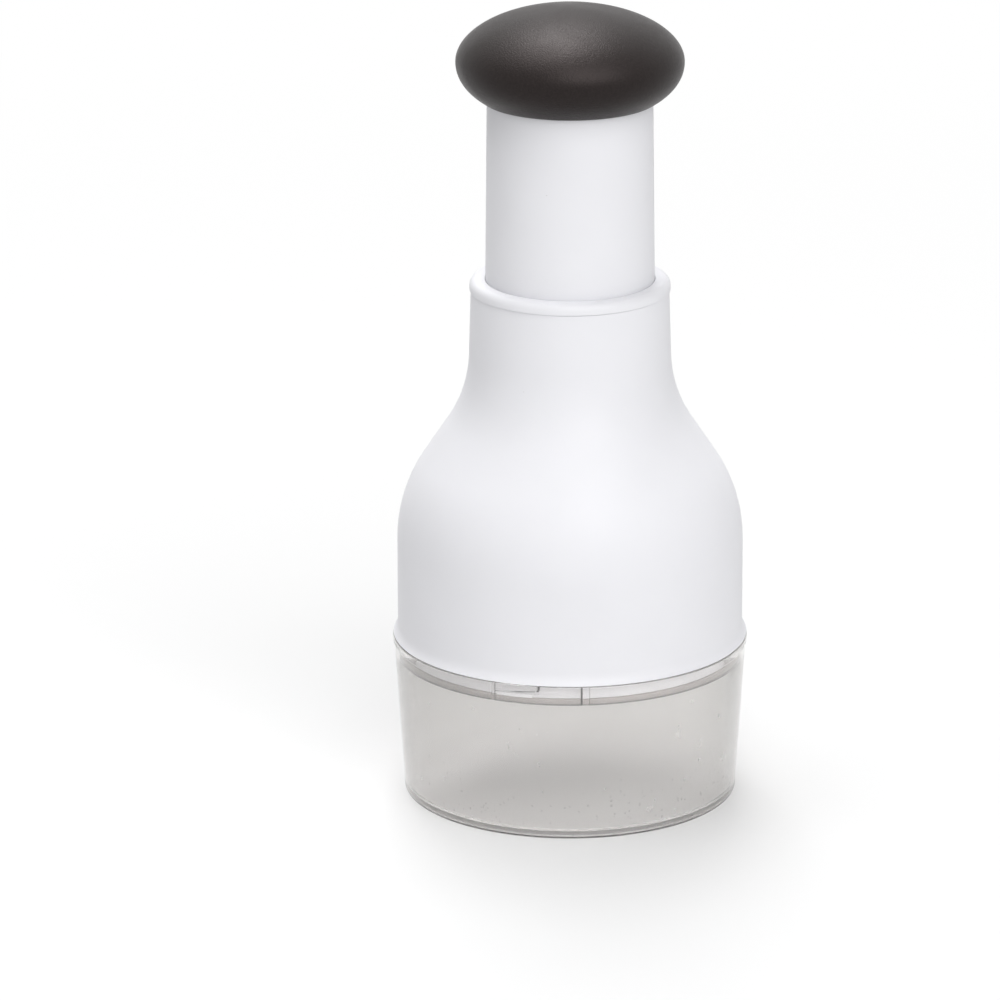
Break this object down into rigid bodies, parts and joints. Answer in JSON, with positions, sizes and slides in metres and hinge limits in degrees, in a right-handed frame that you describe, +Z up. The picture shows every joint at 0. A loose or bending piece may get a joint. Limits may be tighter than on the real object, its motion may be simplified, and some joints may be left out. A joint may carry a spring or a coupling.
{
  "type": "food chopper",
  "caption": "Hand press food chopper: pushing the round knob down drives a turning zigzag blade into a clear round cup, and a spring lifts it again.",
  "frame": {"origin": "centre of the cup's foot, on the surface it stands on", "axes": "+Z up along the axis of the cup, housing and plunger; -Y towards the picture's camera"},
  "size_m": [0.1026, 0.1026, 0.2324],
  "materials": {
    "clear_plastic": "clear at the rim band, frosted inside below the ledge",
    "silicone": "translucent grey silicone",
    "white_plastic": "smooth satin moulding",
    "soft_grip": "soft-touch, dark warm grey, finely grained",
    "core_plastic": "plain moulding",
    "stainless_steel": "ground and lightly brushed",
    "screw_zinc": "zinc plated",
    "acetal": "natural acetal, slightly glossy"
  },
  "bodies": {
    "cup": {"cup": "clear_plastic"},
    "seal": {"seal_ring": "silicone"},
    "housing": {"housing_shell": "white_plastic", "base_collar": "white_plastic", "guide_tower": "white_plastic", "tower_screw_1": "screw_zinc", "tower_screw_2": "screw_zinc", "tower_screw_3": "screw_zinc", "spiral_nut": "acetal", "neck_collar": "white_plastic"},
    "wiper": {"wiper_disc": "white_plastic"},
    "plunger": {"plunger_sleeve": "white_plastic", "knob_core": "core_plastic", "knob_grip": "soft_grip", "knob_screw_1": "screw_zinc", "knob_screw_2": "screw_zinc", "knob_screw_3": "screw_zinc", "return_spring": "stainless_steel"},
    "blades": {"spiral_shaft": "acetal", "thrust_washer": "stainless_steel", "shaft_screw": "screw_zinc", "blade_hub": "white_plastic", "hub_screw": "screw_zinc", "blade": "stainless_steel"}
  },
  "joints": [
    {"name": "cup_twist", "type": "hinge", "parent": "cup", "child": "seal", "pos_m": [0, 0, 0.0417], "axis": [0, 0, 1], "range_deg": [0, 16]},
    {"name": "lift_off", "type": "slide", "parent": "seal", "child": "housing", "axis": [0, 0, 1], "range_m": [0, 0.08]},
    {"name": "plunger_press", "type": "slide", "parent": "housing", "child": "plunger", "axis": [0, 0, -1], "range_m": [0, 0.044], "stiffness_N_per_m": 300, "springref_m": -0.03, "deforming": ["return_spring"]},
    {"name": "blade_spin", "type": "hinge", "parent": "plunger", "child": "blades", "pos_m": [0, 0, 0.2094], "axis": [0, 0, 1], "range_deg": [-45, 0]},
    {"name": "wiper_spin", "type": "hinge", "parent": "housing", "child": "wiper", "pos_m": [0, 0, 0.0443], "axis": [0, 0, 1], "range_deg": [-45, 0]}
  ],
  "couplings": [
    {"joint": "blade_spin", "follows": "plunger_press", "rad_per_m": -17.849},
    {"joint": "wiper_spin", "follows": "plunger_press", "rad_per_m": -17.849}
  ]
}
